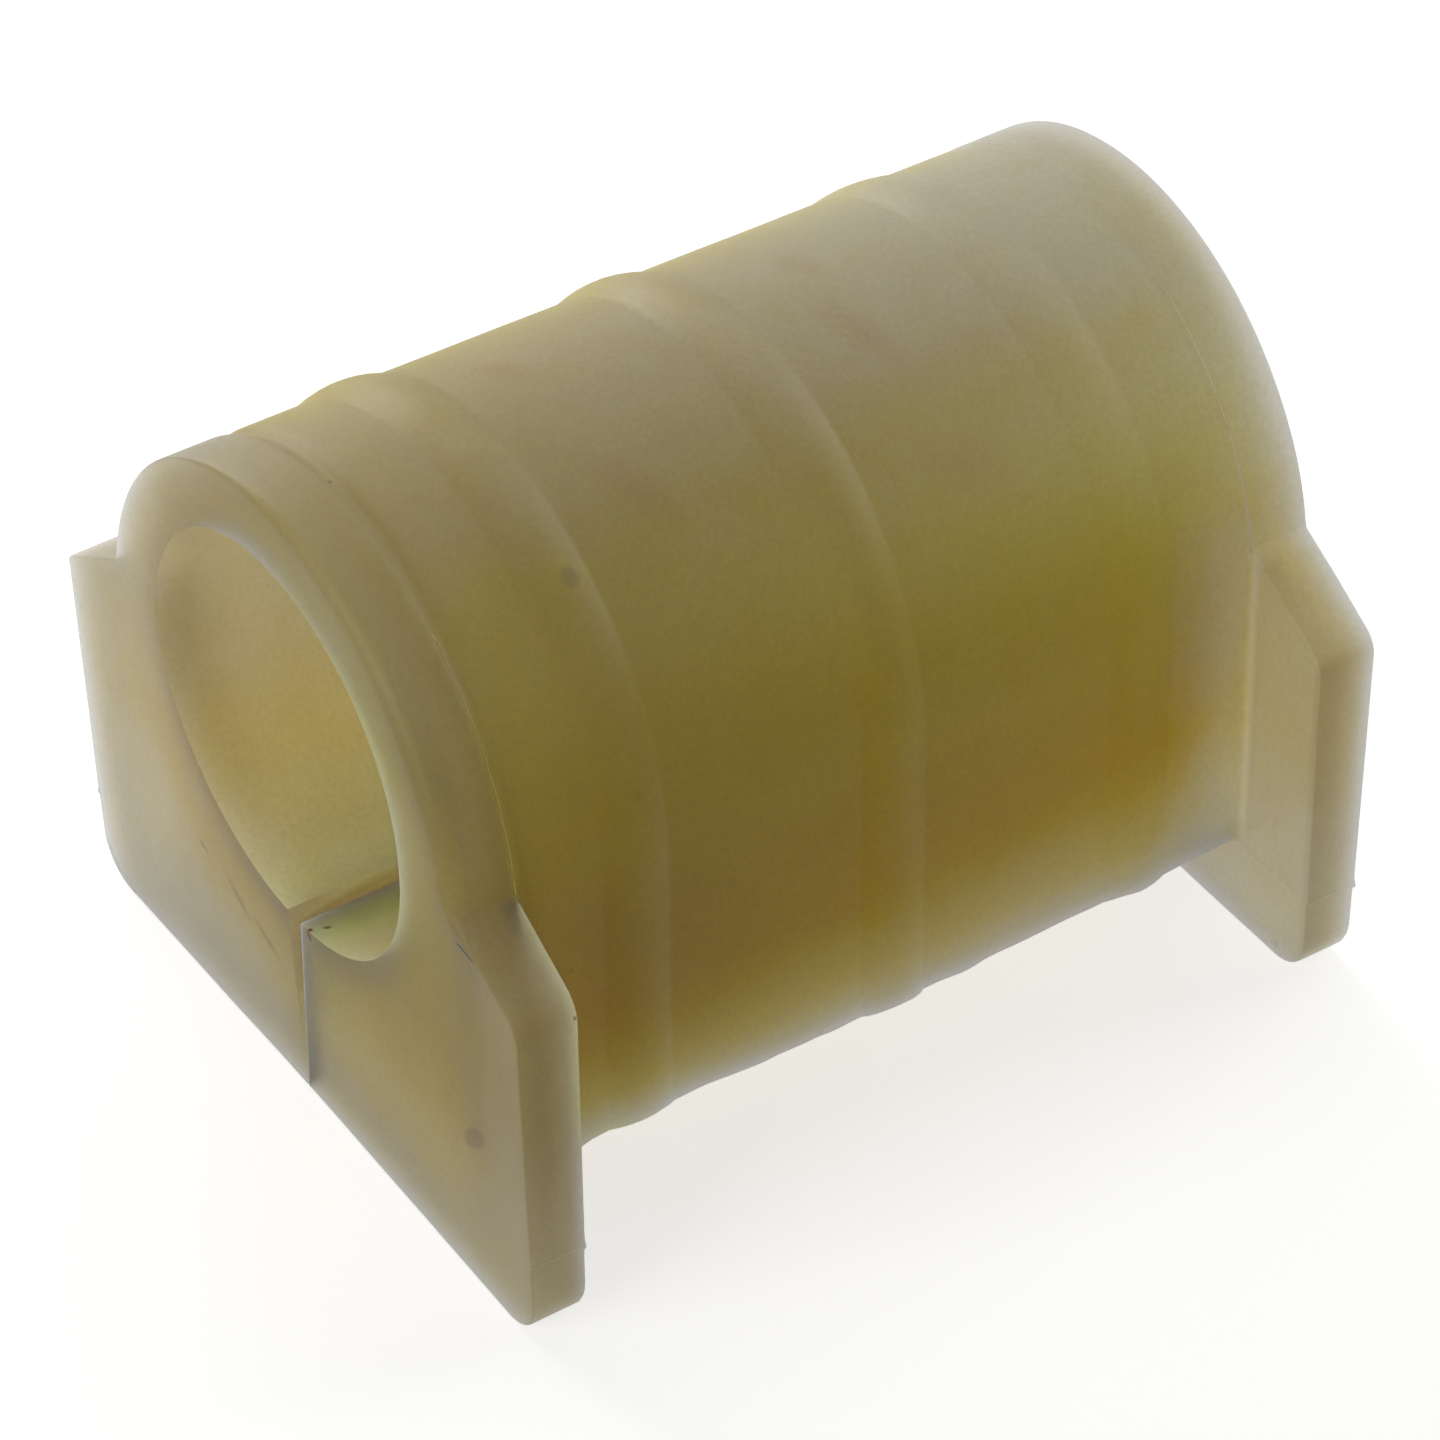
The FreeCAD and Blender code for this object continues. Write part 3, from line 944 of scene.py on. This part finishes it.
# The floor: its colour where it is looked at and the white added to it there, the shade of
# its upper side for all other rays, the share of it that passes light from below, and,
# in metres from its middle, where it runs out into white and where it ends
FLOOR_COLOUR = "#e8e8e6"
FLOOR_LIFT = 0.72
FLOOR_SHADE = "#606060"
SHEET_PASSES = 0.25
FLOOR_FADE = (0.12, 0.4)
FLOOR_REACH = 3.0


def studio_floor():
    """A translucent table that is looked at as a plain white floor and keeps the shadow."""
    material, tree = new_material("studio_floor")
    place = node(tree, "ShaderNodeTexCoord").outputs["Object"]
    distance = node(tree, "ShaderNodeVectorMath", {"operation": "LENGTH"}, i0=place)
    far = node(tree, "ShaderNodeMapRange", Value=distance.outputs["Value"],
               From_Min=FLOOR_FADE[0], From_Max=FLOOR_FADE[1], To_Min=0.0, To_Max=1.0)
    paint = node(tree, "ShaderNodeBsdfDiffuse", Color=colour(FLOOR_COLOUR))
    lift = node(tree, "ShaderNodeEmission", Color=(1.0, 1.0, 1.0, 1.0), Strength=FLOOR_LIFT)
    lit = node(tree, "ShaderNodeAddShader", i0=paint.outputs["BSDF"], i1=lift.outputs["Emission"])
    white = node(tree, "ShaderNodeEmission", Color=(1.0, 1.0, 1.0, 1.0), Strength=1.0)
    seen = node(tree, "ShaderNodeMixShader", Fac=far.outputs["Result"],
                i1=lit.outputs["Shader"], i2=white.outputs["Emission"])
    upper = node(tree, "ShaderNodeBsdfDiffuse", Color=colour(FLOOR_SHADE))
    through = node(tree, "ShaderNodeBsdfTranslucent", Color=(1.0, 1.0, 1.0, 1.0))
    sheet = node(tree, "ShaderNodeMixShader", Fac=SHEET_PASSES,
                 i1=upper.outputs["BSDF"], i2=through.outputs["BSDF"])
    mixed = node(tree, "ShaderNodeMixShader", Fac=looked_at(tree),
                 i1=sheet.outputs["Shader"], i2=seen.outputs["Shader"])
    node(tree, "ShaderNodeOutputMaterial", Surface=mixed.outputs["Shader"])
    return material


def make_floor():
    """A level square at the height of the feet."""
    mesh = bpy.data.meshes.new("floor")
    ways = ((-1, -1), (1, -1), (1, 1), (-1, 1))
    corners = [(x * FLOOR_REACH, y * FLOOR_REACH, 0.0) for x, y in ways]
    mesh.from_pydata(corners, [], [(0, 1, 2, 3)])
    mesh.materials.append(studio_floor())
    floor = bpy.data.objects.new("floor", mesh)
    bpy.context.collection.objects.link(floor)


def make_world():
    """A room that is plain white where it is looked at and gives no light of its own."""
    world = bpy.data.worlds.new("white_room")
    bpy.context.scene.world = world
    world.use_nodes = True
    tree = world.node_tree
    tree.nodes.clear()
    background = node(tree, "ShaderNodeBackground", Color=(1.0, 1.0, 1.0, 1.0),
                      Strength=looked_at(tree))
    node(tree, "ShaderNodeOutputWorld", Surface=background.outputs["Background"])


# The lamps, in metres and watts: where each large soft one stands, four round the casting
# and one below the translucent table, and the height that they face
LAMPS = {
    "left_lamp": ((-1.1, 0.0, 0.45), 6.4),
    "back_lamp": ((0.0, 1.1, 0.45), 4.2),
    "high_lamp": ((-0.45, 0.45, 0.95), 1.9),
    "front_lamp": ((0.1, -1.1, 0.4), 5.4),
    "under_lamp": ((0.0, 0.0, -0.8), 4.3),
}
LAMP_SIZE = 0.8
LAMP_AIM = 0.04


def make_lamp(name, place, power):
    """A square lamp that faces the casting."""
    lamp = bpy.data.lights.new(name, "AREA")
    lamp.size = LAMP_SIZE
    lamp.energy = power
    holder = bpy.data.objects.new(name, lamp)
    holder.location = place
    to_casting = Vector((0.0, 0.0, LAMP_AIM)) - Vector(place)
    holder.rotation_euler = to_casting.to_track_quat("-Z", "Y").to_euler()
    bpy.context.collection.objects.link(holder)


# The photograph's camera, as fitted to the outlines in it: degrees, metres, and the
# photograph's pixels for its focal length and for the aim's shift
CAMERA_AZIMUTH = 56.96
CAMERA_ELEVATION = 40.20
CAMERA_ROLL = -0.75
CAMERA_DISTANCE = 0.7234
SENSOR = 36.0
FOCAL_PIXELS = 7249.0
PHOTO_PIXELS = 1440.0
AIM_HEIGHT = 0.030
AIM_RIGHT = 2.4
AIM_DOWN = 30.8


def make_camera():
    """Looks from the right of the near end face and above, with a long lens.

    The aim is moved in the picture plane by the pixels between the picture's middle
    and the point that the camera turns about.
    """
    azimuth = math.radians(CAMERA_AZIMUTH)
    elevation = math.radians(CAMERA_ELEVATION)
    roll = math.radians(CAMERA_ROLL)
    back = Vector((
        math.sin(azimuth) * math.cos(elevation),
        -math.cos(azimuth) * math.cos(elevation),
        math.sin(elevation),
    ))
    level = Vector((math.cos(azimuth), math.sin(azimuth), 0.0))
    upright = back.cross(level)
    right = math.cos(roll) * level + math.sin(roll) * upright
    up = math.cos(roll) * upright - math.sin(roll) * level
    pixel = CAMERA_DISTANCE / FOCAL_PIXELS
    centre = Vector((0.0, 0.0, AIM_HEIGHT))
    aim = centre + right * (AIM_RIGHT * pixel) - up * (AIM_DOWN * pixel)
    place = centre + back * CAMERA_DISTANCE
    towards = (place - aim).normalized()
    across = up.cross(towards).normalized()
    upward = towards.cross(across)
    turn = Matrix((across, upward, towards)).transposed()
    data = bpy.data.cameras.new("camera")
    data.sensor_width = SENSOR
    data.lens = FOCAL_PIXELS / PHOTO_PIXELS * SENSOR
    camera = bpy.data.objects.new("camera", data)
    camera.matrix_world = Matrix.Translation(place) @ turn.to_4x4()
    bpy.context.collection.objects.link(camera)
    bpy.context.scene.camera = camera


make_camera()
make_floor()
make_world()
for lamp_name, (lamp_place, lamp_power) in LAMPS.items():
    make_lamp(lamp_name, lamp_place, lamp_power)
casting = make_casting()
casting.data.materials.append(cast_polyurethane())

scene = bpy.context.scene
scene.view_settings.view_transform = "Standard"
